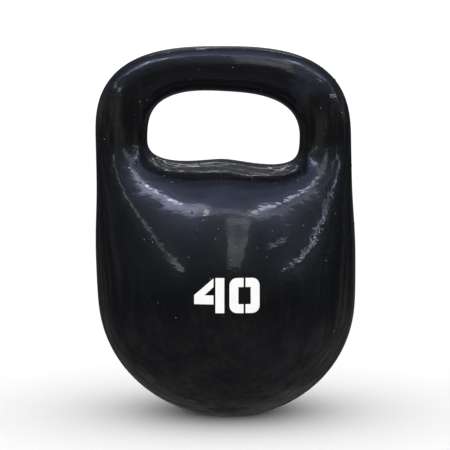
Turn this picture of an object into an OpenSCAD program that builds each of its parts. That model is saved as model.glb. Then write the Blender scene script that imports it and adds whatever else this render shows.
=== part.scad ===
// Kettlebell marked 40: a cast-iron ball with its loop handle in one casting,
// a gloss black coating over it down to the bare ground foot, a stencilled
// number on the belly, and a lead trimming slug behind a threaded plug.
//
// Frame: +Z up, floor at z = 0, the number faces -Y, all sizes in millimetres.
//
// The outer form is one smooth surface. It is the blend of two simple bodies:
// an egg-shaped ball, and a handle loop of oval section whose inner edge (the
// hand window) and outer edge are super-ellipses around one centre.

/* [Ball] */
// Radius of the ball at its widest ring
ball_radius = 106.8; // [98:0.1:114]
// Height of that ring above the floor
ball_middle = 95.8; // [88:0.1:102]
// Rise of the ball's rounded top above the ring
ball_rise = 105.8; // [102:0.1:113]
// Radius of the foot, coating included
base_radius = 32; // [28:0.5:44]

/* [Handle] */
// Thickness of the grip bar, measured up and down
grip_thickness = 37.7; // [33:0.1:42]
// Thickness of the bar, measured front to back
grip_depth = 39.5; // [34:0.5:44]
// Thickness of each leg beside the window
leg_thickness = 43.4; // [38:0.2:48]
// Depth of each leg, front to back
leg_depth = 43; // [38:0.5:52]
// Depth of the loop where it runs down into the ball
root_depth = 113; // [96:1:120]
// Sine of the angle below the window's centre where the loop is that deep
root_turn = 0.84; // [0.74:0.02:1]
// Reach of the loop's outer edge below the window's centre
root_reach = 113; // [102:0.5:122]
// Softness of the corner between loop and ball
blend = 47.7; // [38:0.1:54]
// How far the top of the casting stands left of its foot
lean = 6; // [0:0.5:8]

/* [Window] */
// Width of the hand window
window_width = 125.2; // [114:0.2:132]
// Height of the window's centre above the ball's rounded top
window_lift = 24.1; // [18:0.1:30]
// Reach of the window's upper edge above its centre
window_rise = 39.6; // [34:0.1:45]
// Reach of the loop's inner edge below the window's centre
window_drop = 23.4; // [19:0.1:30]
// Turn of the window in the loop, degrees, right end down
window_turn = 3.2; // [0:0.2:5]
// Squareness of the window's upper corners (2 is an ellipse)
window_square = 2.8; // [2.2:0.05:3.4]
// Squareness of its lower corners
sill_square = 3.25; // [2.4:0.05:3.8]
// Squareness of the loop's upper outer edge
loop_square = 2.75; // [2.3:0.05:3.2]
// Straightness of the loop's outer sides below the centre
side_square = 6; // [4:0.2:8]

/* [Coating] */
// Filler, primer and gloss enamel together
coat = 1; // [0.8:0.1:1.6]
// Height at which the coating stops above the bare ground foot
coat_edge = 0.6; // [0.4:0.1:2]

/* [Number] */
// Height of the digits
digit_height = 27; // [20:0.1:32]
// Width of each digit
digit_width = 23.4; // [18:0.1:26]
// Width of the strokes
stroke = 6.9; // [5:0.1:7.4]
// Clear space between the two digits
digit_space = 4; // [3:0.1:6]
// Width of the stencil bridges
bridge = 1.5; // [1:0.1:2.2]
// Height of the number's middle above the floor
number_height = 108.6; // [96:0.2:116]
// Shift of the number to the right
number_shift = 1.3; // [-4:0.1:4]
// Thickness of the number's paint
number_paint = 0.3; // [0.2:0.05:0.5]

/* [Trim] */
// How far the plug's head sits inside the foot
plug_setback = 2; // [1:0.5:4]
// Diameter of the plug's head
head_diameter = 32; // [28:0.5:38]
// Thickness of the plug's head
head_thickness = 3; // [2:0.5:5]
// Clear space around the head in its recess
head_gap = 1; // [0.5:0.1:2]
// Outer diameter of the plug's thread
thread_diameter = 24; // [20:0.5:27]
// Length of the plug's thread
thread_length = 12; // [8:0.5:18]
// Width across the flats of the hexagon socket
socket_flats = 14; // [10:0.5:16]
// Depth of the hexagon socket
socket_depth = 8; // [5:0.5:10]
// Thickness of the sealing washer
seal_thickness = 1; // [0.8:0.1:1.5]
// Length of the lead slug
slug_length = 70; // [30:1:90]
// Depth of the groove that keys the slug in its bore
key_depth = 3; // [2:0.5:5]
// Height of that groove, measured along the bore
key_height = 10; // [6:1:16]
// Length of slug below the groove
key_level = 30; // [10:1:50]

/* [Hidden] */
// Rays around the window, and steps across each section of the loop
rays = 76;
steps = 20;
fine = 96;

loop_centre = ball_middle + ball_rise + window_lift;
overall_height = loop_centre + window_rise + grip_thickness;
half_window = window_width / 2;
half_loop = half_window + leg_thickness;
ball_drop = ball_middle / sqrt(1 - pow(base_radius / ball_radius, 2));

recess_depth = plug_setback + head_thickness + seal_thickness;
recess_diameter = head_diameter + 2 * head_gap;
slug_foot = plug_setback + head_thickness + thread_length;

// ---- the form as a signed value: below zero inside, above zero outside

function ease(t) = let (u = min(max(t, 0), 1)) u * u * (3 - 2 * u);

// distance from the centre to a super-ellipse along the direction (c, s)
function super_radius(c, s, w, up, down, n_up, n_down) =
    let (n = s >= 0 ? n_up : n_down, h = s >= 0 ? up : down)
    pow(pow(abs(c) / w, n) + pow(abs(s) / h, n), -1 / n);

function window_radius(c, s) =
    let (ct = cos(window_turn), st = sin(window_turn))
    super_radius(c * ct - s * st, s * ct + c * st, half_window,
                 window_rise, window_drop, window_square, sill_square);

function loop_radius(c, s) =
    super_radius(c, s, half_loop, window_rise + grip_thickness, root_reach,
                 loop_square, side_square);

function ball_value(x, y, z) =
    let (v = z - ball_middle, b = v < 0 ? ball_drop : ball_rise,
         a = ball_radius, q = x * x + y * y,
         k0 = sqrt(q / (a * a) + v * v / (b * b)) + 1e-9,
         k1 = sqrt(q / pow(a, 4) + v * v / pow(b, 4)) + 1e-12)
    k0 * (k0 - 1) / k1;

function loop_value(x, y, z) =
    let (v = z - loop_centre, r = sqrt(x * x + v * v) + 1e-9,
         c = x / r, s = v / r,
         inner = window_radius(c, s), outer = loop_radius(c, s),
         half = (outer - inner) / 2,
         depth = (grip_depth + (leg_depth - grip_depth) * ease(1 - s)
                  + (root_depth - leg_depth) * ease(-s / root_turn)) / 2,
         q = (r - (inner + outer) / 2) / half)
    (sqrt(q * q + y * y / (depth * depth)) - 1) * min(half, depth);

function form_value(x, y, z) =
    let (a = ball_value(x, y, z), b = loop_value(x, y, z),
         h = max(blend - abs(a - b), 0) / blend)
    min(a, b) - h * h * h * blend / 6;

// ---- points on the surface lying `inset` below the outer form

function reach(c, s, inside, outside, inset, n = 24) =
    n == 0 ? (inside + outside) / 2 :
    let (m = (inside + outside) / 2)
    form_value(m * c, 0, loop_centre + m * s) + inset < 0
        ? reach(c, s, m, outside, inset, n - 1)
        : reach(c, s, inside, m, inset, n - 1);

function half_depth(x, z, inside, outside, inset, n = 21) =
    n == 0 ? (inside + outside) / 2 :
    let (m = (inside + outside) / 2)
    form_value(x, m, z) + inset < 0
        ? half_depth(x, z, m, outside, inset, n - 1)
        : half_depth(x, z, inside, m, inset, n - 1);

// the rays crowd towards the foot, where they are longest
function ray_angle(i) =
    let (u = 360 * i / rays)
    atan2(sin(u) * (sin(u) < 0 ? 1.45 : 1), cos(u));

function leaned(p) = [p[0] - lean * (p[2] / overall_height - 0.5), p[1], p[2]];

// one half section on ray i: from the window's edge to the outer edge
function half_section(i, inset) =
    let (a = ray_angle(i), c = cos(a), s = sin(a),
         near = window_radius(c, s), far = loop_radius(c, s),
         inner = reach(c, s, (near + far) / 2, near * 0.2, inset),
         outer = reach(c, s, max((near + far) / 2, near + 12),
                       loop_centre + ball_radius, inset))
    [for (j = [0 : steps])
        let (r = inner + (outer - inner) * (1 - cos(180 * j / steps)) / 2,
             x = r * c, z = loop_centre + r * s,
             y = j == 0 || j == steps ? 0 : half_depth(x, z, 0, ball_radius + 30, inset))
        [x, y, z]];

function sections(inset) = [for (i = [0 : rays - 1]) half_section(i, inset)];

outer_sections = sections(0);
inner_sections = sections(coat);

module form(sections) {
    ring = 2 * steps;
    points = [for (section = sections)
        for (k = [0 : ring - 1])
            let (p = section[k <= steps ? k : ring - k], side = k <= steps ? -1 : 1)
            leaned([p[0], side * p[1], p[2]])];
    faces = [for (i = [0 : rays - 1], k = [0 : ring - 1])
        let (n = (i + 1) % rays, l = (k + 1) % ring,
             a = i * ring + k, b = i * ring + l, c = n * ring + l, d = n * ring + k)
        each [[a, c, b], [a, d, c]]];
    polyhedron(points, faces, convexity = 6);
}

module above(z) {
    wide = 4 * (ball_radius + half_loop);
    translate([-wide / 2, -wide / 2, z]) cube([wide, wide, 2 * overall_height]);
}

// ---- the pieces

module base_recess() {
    translate([0, 0, -10]) cylinder(h = 10 + recess_depth, d = recess_diameter, $fn = fine);
}

module slug_shape() {
    translate([0, 0, slug_foot]) cylinder(h = slug_length, d = thread_diameter, $fn = fine);
    translate([0, 0, slug_foot + key_level])
        cylinder(h = key_height, d = thread_diameter + 2 * key_depth, $fn = fine);
}

module iron_casting() color([0.22, 0.22, 0.23]) difference() {
    intersection() {
        form(inner_sections);
        above(0);
    }
    base_recess();
    cylinder(h = slug_foot + 1, d = thread_diameter, $fn = fine);
    slug_shape();
}

module gloss_coating() color([0.05, 0.05, 0.06]) difference() {
    intersection() {
        form(outer_sections);
        above(coat_edge);
    }
    form(inner_sections);
}

module lead_trim() color([0.45, 0.46, 0.5]) slug_shape();

module trim_plug() color([0.6, 0.6, 0.62]) difference() {
    union() {
        translate([0, 0, plug_setback])
            cylinder(h = head_thickness, d = head_diameter, $fn = fine);
        translate([0, 0, plug_setback])
            cylinder(h = slug_foot - plug_setback, d = thread_diameter, $fn = fine);
    }
    translate([0, 0, plug_setback - 1])
        cylinder(h = socket_depth + 1, d = socket_flats / cos(30), $fn = 6);
}

module plug_seal() color([0.35, 0.12, 0.1]) difference() {
    translate([0, 0, recess_depth - seal_thickness])
        cylinder(h = seal_thickness, d = head_diameter, $fn = fine);
    translate([0, 0, recess_depth - seal_thickness - 1])
        cylinder(h = seal_thickness + 2, d = thread_diameter, $fn = fine);
}

// a sheet of paint lying on the belly: the coating's own facets, and the same
// facets again one paint thickness further out
module belly_sheet() {
    first = round(rays * 0.65);
    last = round(rays * 0.85);
    low = floor(steps * 0.4);
    high = ceil(steps * 0.8);
    across = high - low + 1;
    lines = last - first + 1;
    skin = [for (i = [first : last], j = [low : high])
        let (p = outer_sections[i][j]) leaned([p[0], -p[1], p[2]])];
    n = len(skin);
    points = concat(skin, [for (p = skin) [p[0], p[1] - number_paint, p[2]]]);
    function id(i, j) = i * across + j;
    faces = concat(
        [for (i = [0 : lines - 2], j = [0 : across - 2])
            let (a = id(i, j), b = id(i, j + 1), c = id(i + 1, j + 1), d = id(i + 1, j))
            each [[a, b, c], [a, c, d], [n + a, n + c, n + b], [n + a, n + d, n + c]]],
        [for (j = [0 : across - 2])
            let (a = id(0, j), b = id(0, j + 1), c = id(lines - 1, j), d = id(lines - 1, j + 1))
            each [[a, n + b, b], [a, n + a, n + b], [c, d, n + d], [c, n + d, n + c]]],
        [for (i = [0 : lines - 2])
            let (a = id(i, 0), b = id(i + 1, 0), c = id(i, across - 1), d = id(i + 1, across - 1))
            each [[a, b, n + b], [a, n + b, n + a], [c, n + d, d], [c, n + c, n + d]]]);
    polyhedron(points, faces, convexity = 4);
}

module on_belly() {
    intersection() {
        belly_sheet();
        translate([number_shift, 0, number_height]) rotate([90, 0, 0])
            linear_extrude(height = 2 * ball_radius) children();
    }
}

module zero_outline() {
    r = 0.85 * stroke;
    x0 = digit_space / 2;
    difference() {
        hull() for (x = [x0 + r, x0 + digit_width - r], y = [r - digit_height / 2, digit_height / 2 - r])
            translate([x, y]) circle(r = r, $fn = 32);
        translate([x0 + stroke, stroke - digit_height / 2])
            square([digit_width - 2 * stroke, digit_height - 2 * stroke]);
    }
}

// the four's slanting stroke and bar, left of its bridge
module digit_four_flag() color([0.92, 0.92, 0.9]) on_belly() {
    left = -digit_space / 2 - digit_width;
    right = -digit_space / 2 - stroke - bridge;
    foot = -digit_height / 4;
    top = digit_height / 2;
    polygon([[left, foot], [right, foot], [right, foot + stroke],
             [left + 1.15 * stroke, foot + stroke], [right, top - stroke],
             [right, top - 0.3], [left, foot + stroke]]);
}

module digit_four_stem() color([0.92, 0.92, 0.9]) on_belly()
    translate([-digit_space / 2 - stroke, -digit_height / 2]) square([stroke, digit_height]);

module digit_zero_left() color([0.92, 0.92, 0.9]) on_belly() intersection() {
    zero_outline();
    translate([0, -digit_height]) square([(digit_space + digit_width - bridge) / 2, 2 * digit_height]);
}

module digit_zero_right() color([0.92, 0.92, 0.9]) on_belly() intersection() {
    zero_outline();
    translate([(digit_space + digit_width + bridge) / 2, -digit_height])
        square([digit_width, 2 * digit_height]);
}

iron_casting();
gloss_coating();
lead_trim();
trim_plug();
plug_seal();
digit_four_flag();
digit_four_stem();
digit_zero_left();
digit_zero_right();
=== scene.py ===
# %% [markdown]
# # A cast-iron kettlebell
#
# This lesson dresses a kettlebell that already exists as a packed design. The
# design gives sizes and places, in metres, with the floor at z = 0 and the
# number facing -Y. Blender adds what the design leaves out: a truly smooth
# skin, the faint lumps of a sand casting under thick gloss enamel, specks of
# dust caught in that enamel, crisp stencil paint, and real surface finishes.

# %% Load the design
import math
import bmesh
import bpy
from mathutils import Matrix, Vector
from mathutils.bvhtree import BVHTree


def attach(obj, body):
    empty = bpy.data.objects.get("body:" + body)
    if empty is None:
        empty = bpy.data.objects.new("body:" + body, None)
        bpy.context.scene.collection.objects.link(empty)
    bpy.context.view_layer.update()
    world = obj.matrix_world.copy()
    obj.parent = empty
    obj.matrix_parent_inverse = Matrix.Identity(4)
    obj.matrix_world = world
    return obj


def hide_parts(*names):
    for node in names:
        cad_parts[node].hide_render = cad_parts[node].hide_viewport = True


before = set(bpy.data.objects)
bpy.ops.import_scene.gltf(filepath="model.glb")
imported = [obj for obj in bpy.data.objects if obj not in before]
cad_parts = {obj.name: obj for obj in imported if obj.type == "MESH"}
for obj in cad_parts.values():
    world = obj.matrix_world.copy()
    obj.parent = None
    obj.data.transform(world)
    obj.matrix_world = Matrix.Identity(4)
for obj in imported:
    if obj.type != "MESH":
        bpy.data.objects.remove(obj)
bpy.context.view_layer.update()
mm = 0.001
print("pieces in the design:", sorted(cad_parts))

# %% [markdown]
# ## The shape as a rule
#
# The bell is one smooth surface: an egg-shaped ball blended into a handle
# loop. Both follow simple rules, so the surface doesn't have to be sculpted.
# A rule can say how far any point in space is from the surface, below zero
# inside and above zero outside. These are the sizes the rule needs.

# %% Sizes of the form
FORM = {
    "Ball radius": 106.8 * mm,       # at its widest ring
    "Ball middle": 95.8 * mm,        # height of that ring
    "Ball rise": 105.8 * mm,         # from the ring to the rounded top
    "Foot radius": 32 * mm,          # flat at the bottom
    "Window width": 125.2 * mm,
    "Window lift": 24.1 * mm,        # window's centre above the ball's top
    "Window rise": 39.6 * mm,        # upper edge above the centre
    "Window drop": 23.4 * mm,        # inner edge below the centre
    "Window turn": math.radians(3.2),
    "Window square": 2.8,            # upper corners; 2 would be an ellipse
    "Sill square": 3.25,             # lower corners
    "Grip thickness": 37.7 * mm,
    "Grip depth": 39.5 * mm,
    "Leg thickness": 43.4 * mm,
    "Leg depth": 43 * mm,
    "Root depth": 113 * mm,          # where the loop runs into the ball
    "Root turn": 0.84,               # sine of the angle below the centre where it is that deep
    "Root reach": 113 * mm,
    "Loop square": 2.75,
    "Side square": 6.0,
    "Blend": 47.7 * mm,              # softness between loop and ball
    "Lean": 6 * mm,                  # top of the casting stands left of its foot
}
COAT = 1.0 * mm                      # filler, primer and enamel
COAT_EDGE = 0.6 * mm                 # the coating stops above the bare foot
SKIN_ROOM = 0.3 * mm                 # keeps the lumps inside the design's box
TALL = ("Ball middle", "Ball rise", "Window lift", "Window rise", "Grip thickness")
print("bell height:", round(sum(FORM[name] for name in TALL) / mm, 1), "mm")

# %% [markdown]
# ## Arithmetic with nodes
#
# Geometry Nodes can work the rule out at every point, but a hundred Math
# nodes written one by one are hard to read. `Wire` is a number flowing
# through a node tree: adding or multiplying two wires makes the Math node.

# %% A wire that makes Math nodes
class Wire:
    """a number in a node tree, for arithmetic written as ordinary sums"""

    def __init__(self, tree, socket):
        self.tree, self.socket = tree, socket

    def math(self, operation, *others):
        node = self.tree.nodes.new("ShaderNodeMath")
        node.operation = operation
        for slot, value in zip(node.inputs, (self,) + others):
            if isinstance(value, Wire):
                self.tree.links.new(value.socket, slot)
            else:
                slot.default_value = value
        return Wire(self.tree, node.outputs[0])

    def __add__(self, other): return self.math("ADD", other)
    def __sub__(self, other): return self.math("SUBTRACT", other)
    def __mul__(self, other): return self.math("MULTIPLY", other)
    def __truediv__(self, other): return self.math("DIVIDE", other)
    def power(self, other): return self.math("POWER", other)
    def root(self): return self.math("SQRT")
    def size(self): return self.math("ABSOLUTE")

    def below(self, limit, yes, no):
        """yes where this wire is under the limit, no elsewhere"""
        is_below = self.math("LESS_THAN", limit)
        return (yes - no) * is_below + no

    def ease(self):
        """0 to 1, starting and ending softly"""
        node = self.tree.nodes.new("ShaderNodeMapRange")
        node.interpolation_type = "SMOOTHSTEP"
        self.tree.links.new(self.socket, node.inputs["Value"])
        return Wire(self.tree, node.outputs["Result"])

# %% [markdown]
# ## The rule itself
#
# The ball is an ellipsoid with a deeper upper half. The loop is a tube of
# oval section that runs between two super-ellipses, the hand window's edge
# and the handle's outer edge, both drawn around one centre. The smaller of
# the two values is the union of ball and loop, and a cubic blend softens the
# corner where they meet, as the pattern maker's filler does in a real mould.

# %% Distance to the ball, to the loop, and to their blend
def super_radius(across, along, width, up, down, square_up, square_down):
    """distance from the centre to a super-ellipse in one direction"""
    reach = along.below(0, down, up)
    square = along.below(0, square_down, square_up)
    total = ((across / width).size().power(square)
             + (along / reach).size().power(square))
    return total.power((square * 0 - 1) / square)

def ball_value(x, y, z, size):
    """below zero inside the egg-shaped ball"""
    ratio = size["Foot radius"] / size["Ball radius"]
    drop = size["Ball middle"] / (ratio * ratio * -1 + 1).root()
    up = z - size["Ball middle"]
    tall = up.below(0, drop, size["Ball rise"])
    wide = size["Ball radius"]
    flat = x * x + y * y
    near = (flat / (wide * wide) + up * up / (tall * tall)).root() + 1e-6
    steep = (flat / wide.power(4) + up * up / tall.power(4)).root() + 1e-6
    return near * (near - 1) / steep

def loop_value(x, y, z, size):
    """below zero inside the handle's loop"""
    up = z - (size["Ball middle"] + size["Ball rise"] + size["Window lift"])
    out = (x * x + up * up).root() + 1e-6
    c, s = x / out, up / out
    turn = size["Window turn"]
    ct, st = turn.math("COSINE"), turn.math("SINE")
    half = size["Window width"] * 0.5
    inner = super_radius(c * ct - s * st, s * ct + c * st, half,
                         size["Window rise"], size["Window drop"],
                         size["Window square"], size["Sill square"])
    outer = super_radius(c, s, half + size["Leg thickness"],
                         size["Window rise"] + size["Grip thickness"],
                         size["Root reach"], size["Loop square"], size["Side square"])
    to_leg, to_root = size["Leg depth"] - size["Grip depth"], size["Root depth"] - size["Leg depth"]
    depth = (size["Grip depth"]
             + to_leg * (s * -1 + 1).ease()
             + to_root * (s / size["Root turn"] * -1).ease()) * 0.5
    thick = (outer - inner) * 0.5
    q = (out - (inner + outer) * 0.5) / thick
    return ((q * q + y * y / (depth * depth)).root() - 1) * thick.math("MINIMUM", depth)

def bell_value(x, y, z, size):
    """below zero inside the casting: the leaning ball and loop, softly joined"""
    tall = (size["Ball middle"] + size["Ball rise"] + size["Window lift"]
            + size["Window rise"] + size["Grip thickness"])
    straight = x + size["Lean"] * (z / tall - 0.5)
    ball, loop = ball_value(straight, y, z, size), loop_value(straight, y, z, size)
    soft = size["Blend"]
    h = (soft - (ball - loop).size()).math("MAXIMUM", 0) / soft
    return ball.math("MINIMUM", loop) - h * h * h * soft / 6

# %% [markdown]
# ## From a rule to a mesh
#
# A Volume Cube fills a box with the rule's values and Volume to Mesh walks
# its zero surface, which gives even quads everywhere, with no poles. Its
# points are only roughly placed, so a Repeat Zone relaxes them and slides
# each one along its normal until the rule reads zero. Last come the casting's
# own lumps: slow swells from the sand mould and smaller ones under the paint.

# %% Helpers that make and feed nodes
def node(tree, kind, **settings):
    """a new node with its settings"""
    made = tree.nodes.new(kind)
    for name, value in settings.items():
        setattr(made, name, value)
    return made

def feed(tree, made, **inputs):
    """give a node's inputs numbers, wires or sockets by name, with _ for a space"""
    for name, value in inputs.items():
        socket = made.inputs[name.replace("_", " ")]
        if isinstance(value, Wire):
            value = value.socket
        if isinstance(value, bpy.types.NodeSocket):
            tree.links.new(value, socket)
        else:
            socket.default_value = value
    return made

def coordinates(tree, place):
    """the x, y and z of a place, as three wires"""
    split = feed(tree, node(tree, "ShaderNodeSeparateXYZ"), Vector=place)
    return [Wire(tree, socket) for socket in split.outputs]

def kind_of(sockets, kind, name=None):
    """the socket of one type, as a node has several of the same name"""
    return next(s for s in sockets if s.type == kind and name in (None, s.name))

def scaled(tree, vector, amount):
    """a vector made longer or shorter by a wire"""
    longer = node(tree, "ShaderNodeVectorMath", operation="SCALE")
    return feed(tree, longer, Vector=vector, Scale=amount).outputs[0]

def swells(tree, position, wavelength, height, offset):
    """a wire between -height and height that changes over the wavelength"""
    moved = feed(tree, node(tree, "ShaderNodeVectorMath", operation="ADD"), Vector=position)
    moved.inputs[1].default_value = (offset, offset * 0.7, -offset)
    noise = feed(tree, node(tree, "ShaderNodeTexNoise"), Vector=moved.outputs[0],
                 Scale=0.6 / wavelength, Detail=1.0, Roughness=0.4)
    return (Wire(tree, noise.outputs[0]) - 0.5) * 2 * height

# %% Build the Geometry Nodes tree
GRID_BOX = ((-0.122, -0.118, -0.012), (0.122, 0.118, 0.314))  # metres, just round the bell
STEEP = -1000                        # density per metre, so the surface is where it is zero
RELAX_ROUNDS = 8
SLOW_WAVE, FINE_WAVE = 0.055, 0.016  # metres

def bell_tree():
    """the rule, the mesh on its zero surface, and the casting's lumps"""
    tree = bpy.data.node_groups.new("bell form", "GeometryNodeTree")
    face = tree.interface
    face.new_socket("Geometry", in_out="OUTPUT", socket_type="NodeSocketGeometry")
    added = {"Inset": 0.0, "Grain": 0.0023, "Slow swell": 0.0, "Fine swell": 0.0}
    for name, value in {**FORM, **added}.items():
        entry = face.new_socket(name, in_out="INPUT", socket_type="NodeSocketFloat")
        entry.default_value = value
    face.new_socket("Finish", in_out="INPUT", socket_type="NodeSocketMaterial")
    given = node(tree, "NodeGroupInput")
    size = {s.name: Wire(tree, s) for s in given.outputs if s.name}
    position = node(tree, "GeometryNodeInputPosition").outputs[0]
    x, y, z = coordinates(tree, position)
    value = bell_value(x, y, z, size) + size["Inset"]

    low, high = GRID_BOX
    cube = feed(tree, node(tree, "GeometryNodeVolumeCube"), Density=value * STEEP,
                Background=-1.0, Min=low, Max=high)
    for axis, name in enumerate(("Resolution X", "Resolution Y", "Resolution Z")):
        steps = size["Grain"].power(-1) * (high[axis] - low[axis])
        tree.links.new(steps.socket, cube.inputs[name])
    skin = feed(tree, node(tree, "GeometryNodeVolumeToMesh"), Volume=cube.outputs[0],
                Threshold=0.0)

    # relax the points, then put each one back on the surface, several times
    start = node(tree, "GeometryNodeRepeatInput")
    end = node(tree, "GeometryNodeRepeatOutput")
    start.pair_with_output(end)
    feed(tree, start, Iterations=RELAX_ROUNDS)
    tree.links.new(skin.outputs[0], start.inputs["Geometry"])
    blur = node(tree, "GeometryNodeBlurAttribute", data_type="FLOAT_VECTOR")
    feed(tree, blur, Iterations=1)
    tree.links.new(position, kind_of(blur.inputs, "VECTOR"))
    even = feed(tree, node(tree, "GeometryNodeSetPosition"), Geometry=start.outputs["Geometry"])
    tree.links.new(kind_of(blur.outputs, "VECTOR"), even.inputs["Position"])
    normal = node(tree, "GeometryNodeInputNormal").outputs[0]
    geometry = even
    for _ in range(2):
        geometry = feed(tree, node(tree, "GeometryNodeSetPosition"),
                        Geometry=geometry.outputs[0], Offset=scaled(tree, normal, value * -1))
    tree.links.new(geometry.outputs[0], end.inputs["Geometry"])

    lumps = (swells(tree, position, SLOW_WAVE, size["Slow swell"], 3.1)
             + swells(tree, position, FINE_WAVE, size["Fine swell"], 7.7))
    cast = feed(tree, node(tree, "GeometryNodeSetPosition"),
                Geometry=end.outputs["Geometry"], Offset=scaled(tree, normal, lumps))
    smooth = feed(tree, node(tree, "GeometryNodeSetShadeSmooth"), Geometry=cast.outputs[0])
    close_tree(tree, smooth.outputs[0], size["Finish"])
    return tree

def close_tree(tree, geometry, finish):
    """real meshes in place of instances, and the finish, at the tree's end"""
    real = feed(tree, node(tree, "GeometryNodeRealizeInstances"), Geometry=geometry)
    painted = feed(tree, node(tree, "GeometryNodeSetMaterial"), Geometry=real.outputs[0],
                   Material=finish)
    tree.links.new(painted.outputs[0], node(tree, "NodeGroupOutput").inputs[0])

bell = bell_tree()
print("nodes in the form's tree:", len(bell.nodes))

# %% [markdown]
# A tree only works on an object that carries it as a modifier. The export
# wants plain meshes, so a helper puts the tree on a host, sets its inputs by
# their identifiers, takes the evaluated mesh, and clears the modifier again.

# %% Run a tree and keep its mesh
def run_tree(name, tree, mesh=None, **values):
    """a plain mesh object from a tree, with the named inputs set before it is first evaluated"""
    host = bpy.data.objects.new(name, mesh or bpy.data.meshes.new(name))
    bpy.context.scene.collection.objects.link(host)
    modifier = host.modifiers.new("nodes", "NODES")
    modifier.node_group = tree
    for socket in tree.interface.items_tree:
        key = socket.name.replace(" ", "_")
        if socket.in_out == "INPUT" and key in values:
            modifier[socket.identifier] = values[key]
    host.update_tag()
    graph = bpy.context.evaluated_depsgraph_get()
    made = bpy.data.meshes.new_from_object(host.evaluated_get(graph), depsgraph=graph,
                                           preserve_all_data_layers=False)
    host.modifiers.clear()
    host.data = made
    made.name = name
    return host

print("inputs of the form's tree:", len(bell.interface.items_tree) - 1)

# %% [markdown]
# ## Gloss enamel over a sand casting
#
# Black enamel on cast iron looks wet: a clear, sharp reflection lies over a
# hazier one. One glossy lobe can't give both, so the base is fairly rough and
# the Coat adds the sharp layer. Brushed or sprayed enamel is never flat. Four
# sizes of noise drive the bump everywhere: the slow flow of the paint, its
# ripples, the orange peel, and the sand grains of the casting, which show only
# where the paint is thin.
# Paint that pooled under the window is wavy, and dust made one side rough.
# Brownish streaks down the legs are painted reflections of the room, with some
# hand wear, and a dull blue patch on the bar's right shoulder is a painted blue
# reflection where hands rub.

# %% Helpers for materials
def material(name, **sockets):
    """a Principled material, with its tree, its shader and the object's coordinates"""
    made = bpy.data.materials.new(name)
    made.use_nodes = True
    shader = made.node_tree.nodes["Principled BSDF"]
    for key, value in sockets.items():
        shader.inputs[key.replace("_", " ")].default_value = value
    place = made.node_tree.nodes.new("ShaderNodeTexCoord").outputs["Object"]
    return made, made.node_tree, shader, place

def noise(tree, place, wavelength, detail=2.0, stretch=None, roughness=0.5):
    """a 0 to 1 pattern with the given wavelength, in metres"""
    if stretch:
        turned = feed(tree, node(tree, "ShaderNodeMapping"), Vector=place)
        turned.inputs["Scale"].default_value = stretch
        place = turned.outputs[0]
    made = feed(tree, node(tree, "ShaderNodeTexNoise"), Vector=place, Scale=0.6 / wavelength,
                Detail=detail, Roughness=roughness)
    return Wire(tree, made.outputs[0])

def spread(wire, low, high, new_low=0.0, new_high=1.0):
    """stretch the part of a wire between low and high over a new range"""
    made = wire.tree.nodes.new("ShaderNodeMapRange")
    wire.tree.links.new(wire.socket, made.inputs["Value"])
    ends = {"From Min": low, "From Max": high, "To Min": new_low, "To Max": new_high}
    for slot, value in ends.items():
        made.inputs[slot].default_value = value
    return Wire(wire.tree, made.outputs["Result"])

def blend_colours(tree, factor, first, second):
    """a colour that goes from first to second as the factor goes from 0 to 1"""
    mix = node(tree, "ShaderNodeMix", data_type="RGBA")
    tree.links.new(factor.socket, mix.inputs[0])
    for slot, colour in ((6, first), (7, second)):
        if isinstance(colour, bpy.types.NodeSocket):
            tree.links.new(colour, mix.inputs[slot])
        else:
            mix.inputs[slot].default_value = (*colour, 1)
    return mix.outputs[2]

def bump(tree, shader, *layers, slots=("Normal",)):
    """stack height patterns, each with its depth in metres"""
    total = None
    for pattern, depth in layers:
        part = pattern * (depth / mm)
        total = part if total is None else total + part
    made = feed(tree, node(tree, "ShaderNodeBump"), Height=total, Strength=1.0, Distance=mm)
    for slot in slots:
        tree.links.new(made.outputs[0], shader.inputs[slot])

print("helpers: material, noise, spread, blend_colours, bump")

# %% [markdown]
# Each mark on the enamel is a pattern times a mask. A mask is a product of
# ramps along x and z, so it marks a region of the casting, such as the paint
# pooled under the window, and it needs no texture coordinates of its own.

# %% The enamel
BLUE_SHEEN_AT = Vector((67, -20, 274)) * mm  # where a blue reflection is painted on the bar's right shoulder, a place rubbed dull
BLACK_LOW, BLACK_HIGH = (0.0018, 0.0022, 0.0034), (0.0050, 0.0057, 0.0080)
# painted reflections: the brownish leg colour is partly hand wear, the blue one sits on the bar
LEG_SHEEN_AND_WEAR, BLUE_SHEEN_SCUFF = (0.024, 0.0205, 0.018), (0.019, 0.022, 0.038)

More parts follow.
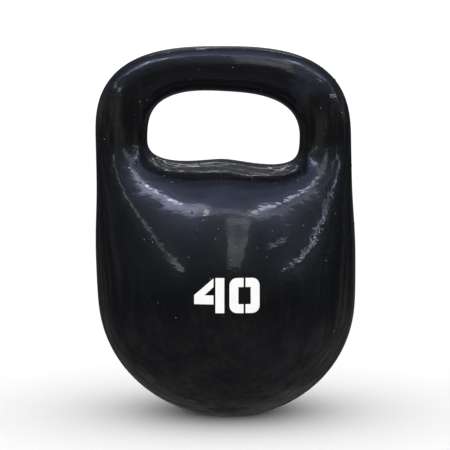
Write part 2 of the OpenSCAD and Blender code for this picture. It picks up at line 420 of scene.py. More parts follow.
def gloss_enamel():
    """thick black paint: a hazy base, a sharp coat, marks of use, and painted reflections on the
    legs and the bar
    """
    made, tree, shader, place = material(
        "black gloss enamel", IOR=1.5, Coat_Weight=0.85, Coat_Roughness=0.025, Coat_IOR=1.52)
    x, _, z = coordinates(tree, place)
    pooled = spread(z, 186 * mm, 198 * mm) * spread(z, 235 * mm, 218 * mm)
    dusty = (spread(x, 35 * mm, 72 * mm)
             * spread(z, 105 * mm, 135 * mm) * spread(z, 225 * mm, 200 * mm))
    waves = noise(tree, place, 9 * mm, 2.0, stretch=(0.28, 1.0, 1.3)) * pooled
    brushed = (noise(tree, place, 8 * mm, 3.0, stretch=(0.2, 1.0, 1.3))
               * spread(z, 250 * mm, 272 * mm))
    bits = noise(tree, place, 2.8 * mm, 2.0) * dusty
    flow = noise(tree, place, 14 * mm, 1.0)
    ripple = noise(tree, place, 6 * mm, 2.0, stretch=(1.0, 1.0, 3.0))
    peel = noise(tree, place, 2.6 * mm, 2.0)
    sand = noise(tree, place, 1.1 * mm, 2.0)
    thin = spread(noise(tree, place, 45 * mm, 2.0), 0.40, 0.62, 0.35, 1.0)
    black = blend_colours(tree, noise(tree, place, 30 * mm, 4.0), BLACK_LOW, BLACK_HIGH)
    # painted reflection: brownish streaks down the legs, partly hand wear too
    legs = (spread(x.size(), 56 * mm, 70 * mm)
            * spread(z, 200 * mm, 225 * mm) * spread(z, 276 * mm, 255 * mm))
    leg_sheen_and_wear_streaks = noise(tree, place, 7 * mm, 4.0, stretch=(1.0, 1.0, 0.16))
    with_leg_sheen = blend_colours(tree, spread(leg_sheen_and_wear_streaks, 0.50, 0.68) * legs, black, LEG_SHEEN_AND_WEAR)
    # painted reflection: a dull blue patch on the bar's right shoulder, where hands rub
    sheen_distance = feed(tree, node(tree, "ShaderNodeVectorMath", operation="DISTANCE"), Vector=place)
    sheen_distance.inputs[1].default_value = BLUE_SHEEN_AT
    blue_sheen_scuff_mask = (spread(Wire(tree, sheen_distance.outputs["Value"]), 17 * mm, 8 * mm)
               * spread(noise(tree, place, 1.8 * mm, 4.0, stretch=(1.0, 1.0, 2.5)), 0.25, 0.75))
    feed(tree, shader, Base_Color=blend_colours(tree, blue_sheen_scuff_mask, with_leg_sheen, BLUE_SHEEN_SCUFF),
         Roughness=spread(noise(tree, place, 20 * mm, 3.0), 0.35, 0.65, 0.24, 0.40))
    bump(tree, shader, (flow, 0.22 * mm), (ripple, 0.10 * mm), (peel, 0.05 * mm),
         (sand * thin, 0.012 * mm), (waves, 0.7 * mm), (brushed, 0.5 * mm),
         (bits, 0.17 * mm), slots=("Normal", "Coat Normal"))
    return made

enamel = gloss_enamel()
print("enamel nodes:", len(enamel.node_tree.nodes))

# %% [markdown]
# ## The coating as a real shell
#
# The rule's mesh closes under the foot, where the real coating stops, because
# the foot is ground flat after painting. The mesh is cut there, and Solidify
# gives the skin its thickness inwards, so the piece is a closed shell with an
# edge that shows from below.

# %% Cut a form at a level, and give a skin its thickness
def cut_below(piece, level, close):
    """take off what is under a level, and fill the cut if asked"""
    work = bmesh.new()
    work.from_mesh(piece.data)
    cut = bmesh.ops.bisect_plane(work, geom=work.verts[:] + work.edges[:] + work.faces[:],
                                 plane_co=(0, 0, level), plane_no=(0, 0, 1),
                                 clear_inner=True, dist=1e-6)
    if close:
        rim = [e for e in cut["geom_cut"] if isinstance(e, bmesh.types.BMEdge)]
        bmesh.ops.edgenet_fill(work, edges=rim)
    work.to_mesh(piece.data)
    work.free()
    return piece

def settle(piece):
    """turn the piece's modifiers into plain mesh"""
    graph = bpy.context.evaluated_depsgraph_get()
    made = bpy.data.meshes.new_from_object(piece.evaluated_get(graph), depsgraph=graph,
                                           preserve_all_data_layers=True)
    piece.modifiers.clear()
    piece.data = made
    return piece

SLOW_SWELL, FINE_SWELL = 0.18 * mm, 0.05 * mm
COAT_GRAIN, IRON_GRAIN = 2.36 * mm, 3.4 * mm  # distance between the mesh's points

# %% The coating
skin = run_tree("coat_skin", bell, Inset=SKIN_ROOM, Grain=COAT_GRAIN,
                Slow_swell=SLOW_SWELL, Fine_swell=FINE_SWELL, Finish=enamel)
cut_below(skin, COAT_EDGE, close=False)
outer_skin = BVHTree.FromPolygons([v.co.copy() for v in skin.data.vertices],
                                  [tuple(p.vertices) for p in skin.data.polygons])
outer_mesh = skin.data.copy()
wall = skin.modifiers.new("wall", "SOLIDIFY")
wall.thickness, wall.offset, wall.use_even_offset = COAT, -1, True
settle(skin)
print("coating triangles:", sum(len(p.vertices) - 2 for p in skin.data.polygons))

# %% [markdown]
# ## Grey iron, ground bright on the foot
#
# The casting shows only underneath, as a ring around the plug's recess. Sand
# leaves iron dark and pitted, and the wheel leaves the flat foot bright, with
# fine parallel scratches. Height alone tells the two apart, so the finish
# reads the object's own z coordinate.

# %% Grey iron
def grey_iron():
    """dark pitted iron, ground bright where it stands"""
    made, tree, shader, place = material("grey iron", Metallic=1.0)
    z = coordinates(tree, place)[2]
    ground = spread(z, 0.02 * mm, 0.3 * mm, 1.0, 0.0)
    pits = noise(tree, place, 1.4 * mm, 3.0)
    scratch = noise(tree, place, 0.9 * mm, 2.0, stretch=(0.06, 1.0, 1.0))
    rough_iron = blend_colours(tree, pits, (0.035, 0.033, 0.032), (0.10, 0.096, 0.092))
    bright_iron = blend_colours(tree, scratch, (0.24, 0.235, 0.23), (0.42, 0.415, 0.405))
    hollow = ground * -1 + 1
    feed(tree, shader, Base_Color=blend_colours(tree, ground, rough_iron, bright_iron),
         Roughness=(spread(scratch, 0.3, 0.7, 0.24, 0.42) * ground
                    + spread(pits, 0.3, 0.7, 0.55, 0.8) * hollow))
    bump(tree, shader, (pits * hollow, 0.12 * mm), (scratch * ground, 0.006 * mm))
    return made

iron = grey_iron()
print("iron nodes:", len(iron.node_tree.nodes))

# %% [markdown]
# ## Steel, fibre and lead inside the foot
#
# The plug is turned steel, and the tool leaves fine rings round its axis. A
# sine of the distance from the axis draws them at their true pitch. The
# washer is pressed red fibre, whose strands lie flat, so its noise is
# stretched. The lead was poured and has a dull, wrinkled skin.

# %% Finishes of the parts in the foot
TOOL_PITCH = 0.22 * mm

def turned_steel():
    """slightly stained steel with the rings of the turning tool"""
    made, tree, shader, place = material("turned steel", Metallic=1.0)
    x, y, _ = coordinates(tree, place)
    out = (x * x + y * y).root()
    rings = (out * (2 * math.pi / TOOL_PITCH)).math("SINE") * 0.5 + 0.5
    stain = noise(tree, place, 6 * mm, 4.0)
    feed(tree, shader, Roughness=spread(stain, 0.3, 0.7, 0.22, 0.4),
         Base_Color=blend_colours(tree, stain, (0.33, 0.325, 0.315), (0.52, 0.515, 0.5)))
    bump(tree, shader, (rings, 0.003 * mm), (stain, 0.01 * mm))
    return made

def red_fibre():
    """pressed fibre with flat strands"""
    made, tree, shader, place = material("red fibre", Roughness=0.62)
    strands = noise(tree, place, 0.8 * mm, 4.0, stretch=(1.0, 1.0, 6.0))
    feed(tree, shader,
         Base_Color=blend_colours(tree, strands, (0.12, 0.018, 0.012), (0.24, 0.05, 0.035)))
    bump(tree, shader, (strands, 0.03 * mm))
    return made

def poured_lead():
    """dull lead with a wrinkled skin"""
    made, tree, shader, place = material("poured lead", Metallic=1.0)
    wrinkles = noise(tree, place, 8 * mm, 5.0, stretch=(1.0, 1.0, 2.5))
    feed(tree, shader, Roughness=spread(wrinkles, 0.3, 0.7, 0.38, 0.6),
         Base_Color=blend_colours(tree, wrinkles, (0.09, 0.094, 0.105), (0.2, 0.205, 0.22)))
    bump(tree, shader, (wrinkles, 0.15 * mm), (noise(tree, place, 1.5 * mm, 2.0), 0.02 * mm))
    return made

steel, fibre, lead = turned_steel(), red_fibre(), poured_lead()
for name, finish in (("lead_trim", lead), ("iron_casting", iron), ("gloss_coating", enamel)):
    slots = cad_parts[name].data.materials
    slots.clear()
    slots.append(finish)
print("finishes:", [m.name for m in bpy.data.materials])

# %% [markdown]
# ## The casting and what is turned on a lathe
#
# Round parts are an outline spun about the axis. The same helper makes the
# cutter that bores the foot, the plug and its washer. The plug's thread is
# not an outline: its radius also depends on the angle, which winds one ridge
# up the shank for every turn.

# %% Helpers that finish, sew and cut meshes
def piece_from(work, name, finish):
    """a scene object from a bmesh, with its faces turned outwards"""
    bmesh.ops.recalc_face_normals(work, faces=work.faces)
    mesh = bpy.data.meshes.new(name)
    work.to_mesh(mesh)
    work.free()
    mesh.materials.append(finish)
    made = bpy.data.objects.new(name, mesh)
    bpy.context.scene.collection.objects.link(made)
    return made

def sew(work, low, high, sides):
    """faces between two rings, where a ring of one point is a pole"""
    for i in range(sides):
        j = (i + 1) % sides
        face = [low[i % len(low)], low[j % len(low)], high[j % len(high)], high[i % len(high)]]
        work.faces.new(list(dict.fromkeys(face)))

def carve(piece, tool, operation="DIFFERENCE"):
    """cut a piece with a tool, and throw the tool away"""
    cut = piece.modifiers.new("carve", "BOOLEAN")
    cut.object, cut.operation, cut.solver = tool, operation, "EXACT"
    settle(piece)
    bpy.data.objects.remove(tool)
    return piece

def shade(piece, degrees=32):
    """smooth faces, with edges sharper than the angle kept crisp"""
    piece.data.shade_smooth()
    work = bmesh.new()
    work.from_mesh(piece.data)
    limit = math.radians(degrees)
    for edge in work.edges:
        edge.smooth = len(edge.link_faces) == 2 and edge.calc_face_angle() < limit
    work.to_mesh(piece.data)
    work.free()
    return piece

# %% A lathe, with an optional thread
def lathe(name, outline, finish, sides=144, thread=None):
    """spin (radius, height) points in mm; an outline that starts and ends on the axis is solid"""
    work = bmesh.new()
    rings = []
    for radius, height in outline:
        if radius == 0:
            rings.append([work.verts.new((0, 0, height * mm))])
            continue
        ring = []
        for i in range(sides):
            angle = 2 * math.pi * i / sides
            r = thread(angle, radius, height) if thread else radius
            point = (r * mm * math.cos(angle), r * mm * math.sin(angle), height * mm)
            ring.append(work.verts.new(point))
        rings.append(ring)
    pairs = list(zip(rings, rings[1:]))
    if outline[0][0] != 0:
        pairs.append((rings[-1], rings[0]))
    for low, high in pairs:
        sew(work, low, high, sides)
    return piece_from(work, name, finish)

# %% [markdown]
# The real foot is drilled after casting. A cavity for the lead runs up the
# axis, with a groove that keeps the lead in, and a wider recess below it
# takes the plug's head. Cutting the casting with one turned shape gives all
# of these walls at once and keeps them true to the axis.

# %% The bored casting
HEAD, SETBACK, THICK = 32.0, 2.0, 3.0       # plug's head: across, above the floor, thick; mm
SEAL, THREAD, LENGTH = 1.0, 24.0, 12.0      # washer; thread across and its length; mm
SLUG = 70.0                                 # height of the lead, mm
KEY_LEVEL, KEY_HEIGHT, KEY_DEPTH = 30.0, 10.0, 3.0  # groove that holds the lead, mm
ROOM = 1.0                                  # round the plug's head, mm
recess, ceiling = HEAD / 2 + ROOM, SETBACK + THICK + SEAL
bore, slug_foot = THREAD / 2, SETBACK + THICK + LENGTH
key, groove = slug_foot + KEY_LEVEL, bore + KEY_DEPTH

casting = run_tree("casting_body", bell, Inset=SKIN_ROOM + COAT, Grain=IRON_GRAIN,
                   Slow_swell=SLOW_SWELL, Fine_swell=FINE_SWELL, Finish=iron)
cut_below(casting, 0.0, close=True)
borer = lathe("borer", [
    (0, -5), (recess + 0.5, -5), (recess + 0.5, 0), (recess, 0.5), (recess, ceiling),
    (bore, ceiling), (bore, key), (groove, key), (groove, key + KEY_HEIGHT),
    (bore, key + KEY_HEIGHT), (bore, slug_foot + SLUG), (0, slug_foot + SLUG)], iron)
carve(casting, borer)
shade(casting)

def sizes(piece):
    """how far a piece reaches in x, y and z, in mm"""
    return [round(v / mm, 1) for v in piece.dimensions]

print("casting:", len(casting.data.polygons), "faces,", sizes(casting), "mm")

# %% [markdown]
# The plug closes the cavity and is turned with a hexagon key. Its thread has
# a V section, 24 mm across with a pitch of 2 mm, so the shank gets a ring
# every quarter of a millimetre for the ridge to wind over. The socket is a
# six-sided lathe shape that is cut out of the head.

# %% The plug
PITCH, THREAD_CUT = 2.0, 1.1                # thread's pitch and depth, mm
RUN_OUT, RING_STEP = 0.8, 0.25              # plain ends of the shank; rings on it, mm
SOCKET, SOCKET_DEPTH = 14.0, 8.0            # across the flats; depth, mm
half_head, neck = HEAD / 2, SETBACK + THICK

def wind(angle, radius, height):
    """the thread between two heights, fading in and out at its ends"""
    start, end = neck + RUN_OUT, slug_foot - RUN_OUT
    if not start <= height <= end:
        return radius
    turn = (height / PITCH - angle / (2 * math.pi)) % 1
    ridge = 1 - abs(2 * turn - 1)
    fade = min(1, (height - start) / PITCH, (end - height) / PITCH)
    return radius - THREAD_CUT * fade * (1 - min(1, max(0, 1.6 * ridge - 0.3)))

rings_up = int((LENGTH - 2 * RUN_OUT) / RING_STEP) + 1
shank = [(bore, neck + RUN_OUT + RING_STEP * i) for i in range(rings_up)]
head = [(0, SETBACK), (half_head - 0.7, SETBACK), (half_head - 0.2, SETBACK + 0.2),
        (half_head, SETBACK + 0.7), (half_head, neck - 0.2), (half_head - 0.2, neck),
        (bore - 0.9, neck), (bore - 0.9, neck + 0.6)]
tip = [(bore, slug_foot - 1.0), (bore - 1.0, slug_foot), (0, slug_foot)]
plug = lathe("trim_plug_steel", head + shank + tip, steel, thread=wind)
across = SOCKET / math.cos(math.pi / 6) / 2
key_tool = lathe("key_tool", [
    (0, SETBACK - 1), (across + 1.4, SETBACK - 1), (across + 0.4, SETBACK),
    (across, SETBACK + 0.5), (across, SETBACK + SOCKET_DEPTH),
    (0, SETBACK + SOCKET_DEPTH + 2)], steel, sides=6)
carve(plug, key_tool)
shade(plug, 25)
print("plug:", len(plug.data.polygons), "faces,", sizes(plug), "mm")

# %% [markdown]
# A flat ring of fibre is squeezed between the plug's head and the recess. Its
# edges are slightly rounded by that, so each corner of the outline is two
# points.

# %% The washer
inner_edge = bore + 0.1
washer = lathe("seal_washer", [
    (inner_edge, neck + 0.25), (bore + 0.35, neck), (half_head - 0.3, neck),
    (half_head, neck + 0.3), (half_head, ceiling - 0.3), (half_head - 0.3, ceiling),
    (bore + 0.35, ceiling), (inner_edge, ceiling - 0.25)], fibre)
shade(washer)
print("washer:", len(washer.data.polygons), "faces,", sizes(washer), "mm")

# %% [markdown]
# ## The stencilled number
#
# A stencil needs bridges, so each digit is islands of paint: the four is a
# flag and a stem, the zero two halves. The paint lies on the coating and
# follows every swell in it. A fine sheet is dropped onto the skin, given the
# paint's thickness, and cut to each island's outline.

# %% Stencil paint
def stencil_paint():
    """slightly clouded white paint"""
    made, tree, shader, place = material("white stencil paint", Roughness=0.5, IOR=1.45)
    cloud = noise(tree, place, 7 * mm, 4.0)
    feed(tree, shader,
         Base_Color=blend_colours(tree, cloud, (0.84, 0.84, 0.83), (0.93, 0.93, 0.92)))
    bump(tree, shader, (noise(tree, place, 2.2 * mm, 2.0), 0.02 * mm),
         (noise(tree, place, 0.7 * mm, 2.0), 0.006 * mm))
    return made

paint = stencil_paint()
print("paint nodes:", len(paint.node_tree.nodes))

# %% A sheet of paint, and the prism that trims it
NUMBER_AT = Vector((1.3, 0, 108.6)) * mm
PROUD, SUNK = 0.22 * mm, 0.08 * mm          # paint above the skin, and into it
SHEET_STEP, MARGIN = 0.5, 1                 # grid of the sheet, and its spare border, mm
FRONT = Vector((0, 1, 0))                   # the way a ray runs from the front

def island(name, outline, hole=None):
    """the sheet of paint inside an outline of (x, z) points in mm around the number's middle"""
    xs, zs = zip(*outline)
    left, right = min(xs) - MARGIN, max(xs) + MARGIN
    low, high = min(zs) - MARGIN, max(zs) + MARGIN
    columns, rows = int((right - left) / SHEET_STEP), int((high - low) / SHEET_STEP)
    work = bmesh.new()
    layers = []
    for rise in (-PROUD, SUNK):
        grid = []
        for j in range(rows + 1):
            for i in range(columns + 1):
                x = NUMBER_AT.x + (left + (right - left) * i / columns) * mm
                z = NUMBER_AT.z + (low + (high - low) * j / rows) * mm
                touch, _, _, _ = outer_skin.ray_cast(Vector((x, -0.3, z)), FRONT)
                grid.append(work.verts.new((x, touch.y + rise, z)))
        layers.append(grid)
    for side, grid in enumerate(layers):
        for j in range(rows):
            for i in range(columns):
                a = j * (columns + 1) + i
                corners = [grid[a], grid[a + 1], grid[a + columns + 2], grid[a + columns + 1]]
                work.faces.new(corners if side == 0 else corners[::-1])
    border = (list(range(columns)) + [columns + j * (columns + 1) for j in range(rows)]
              + [rows * (columns + 1) + columns - i for i in range(columns)]
              + [(rows - j) * (columns + 1) for j in range(rows)])
    front, back = layers
    for a, b in zip(border, border[1:] + border[:1]):
        work.faces.new([front[b], front[a], back[a], back[b]])
    made = piece_from(work, name, paint)
    carve(made, prism("stencil", outline), "INTERSECT")
    if hole:
        carve(made, prism("stencil", hole))
    shade(made, 40)
    return made

def prism(name, outline):
    """an outline pushed through the whole front of the ball, to cut with"""
    work = bmesh.new()
    ends = [[work.verts.new((NUMBER_AT.x + x * mm, y, NUMBER_AT.z + z * mm))
             for x, z in outline] for y in (-0.2, 0.0)]
    work.faces.new(ends[0])
    work.faces.new(ends[1][::-1])
    for i in range(len(outline)):
        j = (i + 1) % len(outline)
        work.faces.new([ends[0][j], ends[0][i], ends[1][i], ends[1][j]])
    return piece_from(work, name, paint)

print("number's middle:", [round(v / mm, 1) for v in NUMBER_AT], "mm")

# %% [markdown]
# The digits come from five sizes, so their outlines are written as sums of
# them. The four's flag is one polygon with a slanting edge, and its stem is a
# bar. The zero is a rounded block with a hole, split down its middle.

# %% Outlines of the four
DIGIT_HIGH, DIGIT_WIDE, STROKE = 27.0, 23.4, 6.9  # mm
SPACE, BRIDGE = 4.0, 1.5                    # between the digits, and between islands, mm
half, zero_left = DIGIT_HIGH / 2, SPACE / 2
left, right, foot = -SPACE / 2 - DIGIT_WIDE, -SPACE / 2 - STROKE - BRIDGE, -DIGIT_HIGH / 4
flag = [(left, foot), (right, foot), (right, foot + STROKE),
        (left + 1.15 * STROKE, foot + STROKE), (right, half - STROKE),
        (right, half - 0.3), (left, foot + STROKE)]
stem = [(-SPACE / 2 - STROKE, -half), (-SPACE / 2, -half),
        (-SPACE / 2, half), (-SPACE / 2 - STROKE, half)]
print("four:", len(flag), "and", len(stem), "points")

# %% Outlines of the zero, and the paint itself
ROUND_STEPS = 8

def corner(cx, cz, first, radius):
    """a quarter circle round (cx, cz) from the first angle on, in degrees"""
    angles = [math.radians(first + 90 * i / ROUND_STEPS) for i in range(ROUND_STEPS + 1)]
    return [(cx + radius * math.cos(a), cz + radius * math.sin(a)) for a in angles]

bend = 0.85 * STROKE
split, far = zero_left + DIGIT_WIDE / 2, zero_left + DIGIT_WIDE
zero_one = (corner(zero_left + bend, half - bend, 90, bend)
            + corner(zero_left + bend, bend - half, 180, bend)
            + [(split - BRIDGE / 2, -half), (split - BRIDGE / 2, half)])
zero_two = (corner(far - bend, bend - half, 270, bend)
            + corner(far - bend, half - bend, 0, bend)
            + [(split + BRIDGE / 2, half), (split + BRIDGE / 2, -half)])
inside = [(zero_left + STROKE, STROKE - half), (far - STROKE, STROKE - half),
          (far - STROKE, half - STROKE), (zero_left + STROKE, half - STROKE)]
islands = {"digit_four_flag": island("paint_four_flag", flag),
           "digit_four_stem": island("paint_four_stem", stem),
           "digit_zero_left": island("paint_zero_left", zero_one, inside),
           "digit_zero_right": island("paint_zero_right", zero_two, inside)}
for name, piece in islands.items():
    print(name, len(piece.data.polygons), "faces,", sizes(piece), "mm")

# %% [markdown]
# ## Dust caught in the enamel
#
# Enamel dries slowly, so it catches dust. A grain that sinks in is a low dome
# of paint, a fraction of a millimetre high, and one that lands late stays
# pale on the surface, a pale that also serves as painted glints. Geometry
# Nodes scatters both over the skin from fixed seeds, more in some places than
# in others and more on top than below, and turns each to the surface under it.

# %% A tree that scatters specks
SPECKS = {"Per square metre": 1500.0, "Smallest": 0.35 * mm, "Largest": 1.1 * mm,
          "Height": 0.4}  # how high a dome is for its radius

def speck_tree():
    """domes scattered over a skin, patchily, each turned to the skin under it"""
    tree = bpy.data.node_groups.new("dust specks", "GeometryNodeTree")
    face = tree.interface
    face.new_socket("Geometry", in_out="INPUT", socket_type="NodeSocketGeometry")
    face.new_socket("Geometry", in_out="OUTPUT", socket_type="NodeSocketGeometry")
    for name, value in SPECKS.items():
        entry = face.new_socket(name, in_out="INPUT", socket_type="NodeSocketFloat")
        entry.default_value = value
    face.new_socket("Seed", in_out="INPUT", socket_type="NodeSocketInt").default_value = 4
    face.new_socket("Finish", in_out="INPUT", socket_type="NodeSocketMaterial")
    given = node(tree, "NodeGroupInput").outputs
    position = node(tree, "GeometryNodeInputPosition").outputs[0]
    height = coordinates(tree, position)[2]
    patchy = (spread(noise(tree, position, 45 * mm, 3.0), 0.42, 0.68, 0.1, 2.2)
              * spread(height, 90 * mm, 140 * mm, 0.1, 1.0))
    points = feed(tree, node(tree, "GeometryNodeDistributePointsOnFaces"),
                  Mesh=given["Geometry"], Seed=given["Seed"],
                  Density=patchy * Wire(tree, given["Per square metre"]))
    ball = feed(tree, node(tree, "GeometryNodeMeshIcoSphere"), Radius=1.0, Subdivisions=2)
    dome = feed(tree, node(tree, "GeometryNodeSetShadeSmooth"), Geometry=ball.outputs[0])
    pick = feed(tree, node(tree, "FunctionNodeRandomValue"), Seed=given["Seed"])
    tree.links.new(given["Smallest"], kind_of(pick.inputs, "VALUE", "Min"))
    tree.links.new(given["Largest"], kind_of(pick.inputs, "VALUE", "Max"))
    wide = Wire(tree, kind_of(pick.outputs, "VALUE"))
    shape = feed(tree, node(tree, "ShaderNodeCombineXYZ"), X=wide, Y=wide,
                 Z=wide * Wire(tree, given["Height"]))
    placed = feed(tree, node(tree, "GeometryNodeInstanceOnPoints"),
                  Points=points.outputs["Points"], Instance=dome.outputs[0],
                  Rotation=points.outputs["Rotation"], Scale=shape.outputs[0])
    close_tree(tree, placed.outputs[0], given["Finish"])
    return tree

scatter = speck_tree()
print("nodes in the specks' tree:", len(scatter.nodes))

# %% Dust under the paint
specks = run_tree("enamel_specks", scatter, mesh=outer_mesh.copy(), Finish=enamel)
print("speck faces:", len(specks.data.polygons))

# %% [markdown]
# Grains that land on the half-dry paint are smaller and stand higher. Their
# pale grey-blue is partly their own colour and partly painted glints. The same
# tree scatters them with other inputs and another seed, which is why its sizes
# are inputs and not fixed numbers.

# %% Pale grit on the paint, partly painted glints
def pale_grit_and_glints():
    """grains that differ from one to the next, from dark to pale; the pale ones are painted glints
    """
    made, tree, shader, place = material("pale grit with painted glints", Roughness=0.3, IOR=1.5)
    # painted glints: pale grey-blue grains, partly their own dust colour
    feed(tree, shader,
         Base_Color=blend_colours(tree, noise(tree, place, 12 * mm, 1.0),
                                  (0.10, 0.12, 0.19), (0.55, 0.58, 0.66)))
    bump(tree, shader, (noise(tree, place, 0.4 * mm, 2.0), 0.05 * mm))
    return made

grit = run_tree("enamel_grit", scatter, mesh=outer_mesh, Per_square_metre=1300.0,
                Smallest=0.15 * mm, Largest=0.42 * mm, Height=0.6, Seed=11,
                Finish=pale_grit_and_glints())
print("grit faces:", len(grit.data.polygons))

# %% [markdown]
# ## Runs of enamel under the window
#
# The casting is dipped or flooded, and the thick paint that gathers in the
# corner between ball and handle creeps over its rim and dries as short runs.
# Each run is a rounded bead that starts thin, swells, and ends in a drop. It
# is a ball of points stretched down the skin: every point is dropped onto the
# skin first, then lifted along the skin's own normal.

# %% Lay the runs on the skin
RUNS = [  # x, top z, length, half width; mm
    (-72, 209, 4, 1.6), (-41, 199, 7, 1.5), (-37, 198, 4, 1.0), (-24, 200, 4, 1.1),
    (-19, 201, 3, 0.9), (-3, 202, 9, 1.6), (22, 198, 4, 1.1), (46, 195, 5, 1.5),
    (57, 199, 6, 1.4), (62, 203, 8, 1.7), (67, 205, 5, 1.2)]

def lay_runs(name, rows, across=12, along=20):
    """one closed bead on the skin for every row"""
    work = bmesh.new()
    for x, top, length, half in rows:
        rings = []
        for j in range(along + 1):
            turn = math.pi * j / along
            swell = math.sin(turn) * (0.55 + 0.45 * (j / along) ** 2)
            fall = (1 - math.cos(turn)) / 2
            ring = []
            for i in range(across if 0 < j < along else 1):
                angle = 2 * math.pi * i / across
                side, lift = half * swell * math.cos(angle), 0.7 * half * swell * math.sin(angle)
                wander = 0.6 * math.sin(3 * fall + x)
                start = Vector((x + side + wander, -300, top - length * fall)) * mm
                touch, normal, _, _ = outer_skin.ray_cast(start, FRONT)
                ring.append(work.verts.new(touch + normal * lift * mm))
            rings.append(ring)
        for low, high in zip(rings, rings[1:]):
            sew(work, low, high, across)
    made = piece_from(work, name, enamel)
    made.data.shade_smooth()
    return made

runs = lay_runs("enamel_runs", RUNS)
print("runs:", len(RUNS), "with", len(runs.data.polygons), "faces")

# %% [markdown]
# ## Tie each piece to the design
#
# Everything here is one rigid body, so each detailed piece is attached to
# the root and the piece of the design it stands for is hidden. The table also
# names a slot for each turned or cast piece, which nothing reads.

# %% Ride and replace
turned_and_cast = ((skin, "gloss_coating", "enamel"), (casting, "iron_casting", "iron"),
                   (plug, "trim_plug", "plug_steel"), (washer, "plug_seal", "seal"))
for piece, node_name, slot in turned_and_cast:
    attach(piece, "root")
    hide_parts(node_name)
for node_name, piece in islands.items():
    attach(piece, "root")
    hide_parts(node_name)
for piece in (specks, grit, runs):
    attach(piece, "root")
print("pieces tied:", len(turned_and_cast) + len(islands) + 3)

# %% [markdown]
# ## Floor, light and camera
#
# Gloss black is drawn by what it reflects, so the room matters as much as the
# paint. A plain white World lights the floor and the number, but a mirror-like
# ball would turn it grey, so glossy rays don't see it. They see a dark shell
# instead, with soft panels on it. Above the bell, a place on the ceiling is
# given by u (to the right) and v (to the back) at one metre up, so a panel is
# a rectangle in u and v, and one loop makes them all.

# %% Floor and the white world
def pale_floor():
    """matt white with hardly visible clouds; any sheen would turn it grey far away"""
    made, tree, shader, place = material("pale floor", Roughness=0.9, Specular_IOR_Level=0.0)
    feed(tree, shader, Base_Color=blend_colours(tree, noise(tree, place, 0.3, 2.0),
                                                (0.88, 0.88, 0.88), (0.9, 0.9, 0.9)))
    return made

bpy.ops.mesh.primitive_plane_add(size=60, location=(0, 0, 0))
floor = bpy.context.object
floor.name = "floor"
floor.data.materials.append(pale_floor())
floor.visible_glossy = False

white = bpy.data.worlds.new("white room")
bpy.context.scene.world = white
white.use_nodes = True
sky = white.node_tree.nodes["Background"].inputs
sky["Color"].default_value = (1, 1, 1, 1)
sky["Strength"].default_value = 1.2
white.cycles_visibility.glossy = False
print("floor", list(floor.dimensions), "world strength", round(sky["Strength"].default_value, 2))

# %% [markdown]
# The wide blue panels give the bar and the ball's shoulders their soft glow,
# the narrow bright ones the ridge lights along the handle, and the long strips
# to the left, above and to the right the streaks down the ball. Small lamps
# and glints make the sharp highlights, and the four crossbars behind the bell
# put short streaks on the ball's top, under the hand window.

# %% Panels that the gloss sees
WARM, COOL = (1.0, 0.93, 0.85), (0.72, 0.78, 1.0)
BLUE, GREY = (0.40, 0.50, 1.0), (0.93, 0.93, 1.0)
PANELS = {  # name: (u, v, half width, half length, turn in degrees, softness, colour, radiance)
    "ceiling": (0.0, -0.01, 1.5, 0.2, 0, 0.08, BLUE, 0.48),
    "ceiling front": (0.0, -0.42, 0.9, 0.2, 0, 0.35, BLUE, 0.22),
    "ridge": (0.0, -0.26, 0.5, 0.04, 0, 0.06, COOL, 1.5),
    "ridge right": (0.75, -0.20, 0.4, 0.045, 0, 0.05, COOL, 3.4),
    "ridge left": (-0.6, -0.17, 0.42, 0.05, 0, 0.05, COOL, 2.8),
    "ridge far right": (2.0, -0.26, 0.55, 0.035, 0, 0.04, COOL, 2.6),
    "lamp left": (-0.24, -0.27, 0.03, 0.02, 0, 0.03, WARM, 13.0),
    "lamp right": (0.34, -0.2, 0.05, 0.02, 0, 0.03, WARM, 9.0),
    "lamp corner": (-0.42, -0.10, 0.03, 0.02, 0, 0.02, COOL, 12.0),
    "lamp corner right": (0.42, -0.12, 0.05, 0.02, 0, 0.02, COOL, 12.0),
    "glint middle": (-0.05, 0.70, 0.01, 0.05, 0, 0.015, COOL, 9.0),
    "glint left": (-0.2, 0.62, 0.01, 0.02, 0, 0.015, GREY, 8.0),
    "glint right": (0.2, 0.62, 0.01, 0.02, 0, 0.015, GREY, 8.0),
    "strip above": (0.215, -1.0, 0.165, 0.64, 2.4, 0.02, GREY, 0.80),
    "strip left": (-1.40, -0.95, 0.07, 0.75, 0, 0.02, GREY, 1.5),
    "strip left, near": (-1.42, -1.3, 0.15, 0.42, 0, 0.03, GREY, 1.1),
    "strip right": (2.05, -0.85, 0.06, 0.62, -18, 0.01, COOL, 7.0),
    "strip right, near": (0.97, -0.64, 0.035, 0.2, -38, 0.02, GREY, 2.8),
    "window 1": (0.0, 0.80, 0.35, 0.025, 4, 0.01, GREY, 2.6),
    "window 2": (0.2, 1.10, 0.25, 0.03, -6, 0.01, WARM, 2.6),
    "window 3": (-0.1, 1.45, 0.2, 0.04, 8, 0.01, GREY, 2.2),
    "window 4": (0.1, 2.0, 0.3, 0.05, -3, 0.02, WARM, 1.8),
}

def edge(wire, half, soft):
    """1 within half of zero and 0 beyond it, with a soft border"""
    return spread(wire.size(), half + soft, half - soft).ease()

print("room panels:", len(PANELS))

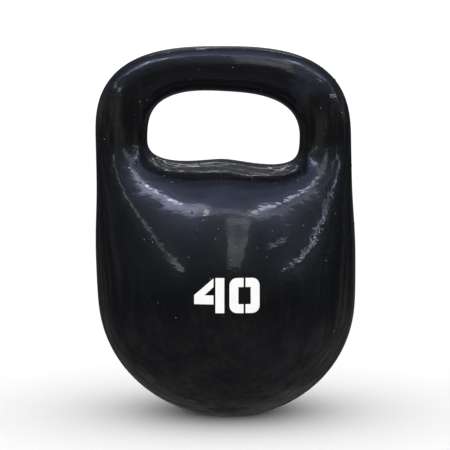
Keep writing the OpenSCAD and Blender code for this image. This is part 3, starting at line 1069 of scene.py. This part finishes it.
# %% The shell that carries them
def room_finish():
    """dark shell: faint columns, sky, a dim mottled ground, and all the panels"""
    made = bpy.data.materials.new("room shell")
    made.use_nodes = True
    tree = made.node_tree
    tree.nodes.clear()
    place = node(tree, "ShaderNodeTexCoord").outputs["Object"]
    way = node(tree, "ShaderNodeVectorMath", operation="NORMALIZE")
    way = feed(tree, way, Vector=place).outputs[0]
    x, y, z = coordinates(tree, way)
    above = spread(z, 0.02, 0.06)
    up = z.math("MAXIMUM", 0.02)
    u, v = x / up, y / up
    mottle = spread(noise(tree, way, 0.16, 5.0, roughness=0.65), 0.38, 0.62, 0.3, 1.6)

    columns = noise(tree, way, 0.045, 4.0, stretch=(1.0, 1.0, 0.15))
    total = scaled(tree, (1.0, 0.92, 0.8), spread(columns, 0.48, 0.75, 0.0, 0.12))
    sky = scaled(tree, (0.6, 0.76, 1.0), spread(z, 0.0, 1.0, 0.01, 0.15))
    below = spread(z, -0.05, -0.6, 0.0, 0.05) * spread(x, -1.0, 1.0, 0.7, 1.7)
    parts = [sky, scaled(tree, (0.98, 0.97, 1.0), below * mottle)]
    for cu, cv, wide, long, turn, soft, colour, radiance in PANELS.values():
        c, s = math.cos(math.radians(turn)), math.sin(math.radians(turn))
        across = (u - cu) * c + (v - cv) * s
        along = (v - cv) * c - (u - cu) * s
        patch = edge(across, wide, soft) * edge(along, long, soft)
        parts.append(scaled(tree, colour, patch * above * mottle * radiance))
    for part in parts:
        both = node(tree, "ShaderNodeVectorMath", operation="ADD")
        tree.links.new(total, both.inputs[0])
        tree.links.new(part, both.inputs[1])
        total = both.outputs[0]
    glow = feed(tree, node(tree, "ShaderNodeEmission"), Color=total, Strength=1.0)
    tree.links.new(glow.outputs[0], node(tree, "ShaderNodeOutputMaterial").inputs["Surface"])
    made.cycles.emission_sampling = "NONE"
    return made

bpy.ops.mesh.primitive_uv_sphere_add(segments=64, ring_count=32, radius=12,
                                     location=(0, 0, 0.15))
shell = bpy.context.object
shell.name = "room_shell"
shell.data.materials.append(room_finish())
for kind in ("camera", "diffuse", "transmission", "volume_scatter", "shadow"):
    setattr(shell, "visible_" + kind, False)
print("room nodes:", len(shell.data.materials[0].node_tree.nodes))

# %% [markdown]
# ## Where the viewer stands
#
# A product is usually seen from a little above and from far enough away that
# its sides hardly converge. The lens follows from the distance and from how
# wide the view has to be at the bell, so moving the camera keeps the framing.

# %% Camera
ELEVATION, DISTANCE = math.radians(4.75), 1515 * mm
AIM, VIEW_WIDTH = Vector((-0.16, 0, 154.8)) * mm, 373.6 * mm

data = bpy.data.cameras.new("camera")
data.sensor_width = 36
data.lens = data.sensor_width * DISTANCE / VIEW_WIDTH
data.clip_end = 100
camera = bpy.data.objects.new("camera", data)
camera.location = AIM + DISTANCE * Vector((0, -math.cos(ELEVATION), math.sin(ELEVATION)))
camera.rotation_euler = (AIM - camera.location).to_track_quat("-Z", "Y").to_euler()
bpy.context.scene.collection.objects.link(camera)
bpy.context.scene.camera = camera
bpy.context.scene.view_settings.view_transform = "Standard"
print("lens", round(camera.data.lens, 1), "mm")
